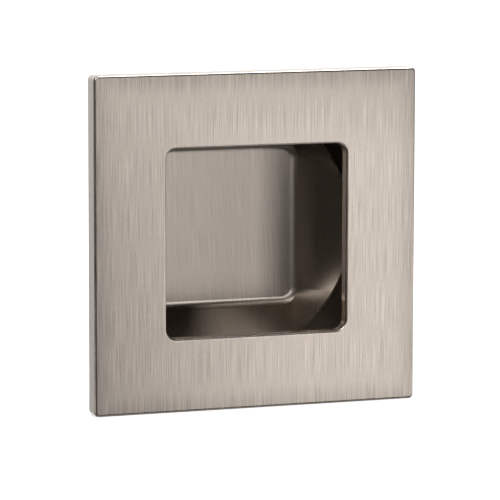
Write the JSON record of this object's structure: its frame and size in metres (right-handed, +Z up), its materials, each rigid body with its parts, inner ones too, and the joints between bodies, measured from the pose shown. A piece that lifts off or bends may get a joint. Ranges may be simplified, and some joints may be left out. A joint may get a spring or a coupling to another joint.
{
  "type": "flush pull",
  "caption": "Square recessed flush pull for a sliding or cupboard door, with a square finger mouth and a round cup behind it that narrows to a square floor.",
  "frame": {"origin": "middle of the face plate's rear face, which lies on the door", "axes": "+Y into the door, +X to the right and +Z up as seen from the room"},
  "size_m": [0.07, 0.0253, 0.07],
  "materials": {
    "plate_satin_nickel": "satin, brushed up and down",
    "cup_satin_nickel": "satin, brushed up and down"
  },
  "bodies": {
    "root": {"face_plate": "plate_satin_nickel", "cup": "cup_satin_nickel"}
  },
  "joints": []
}
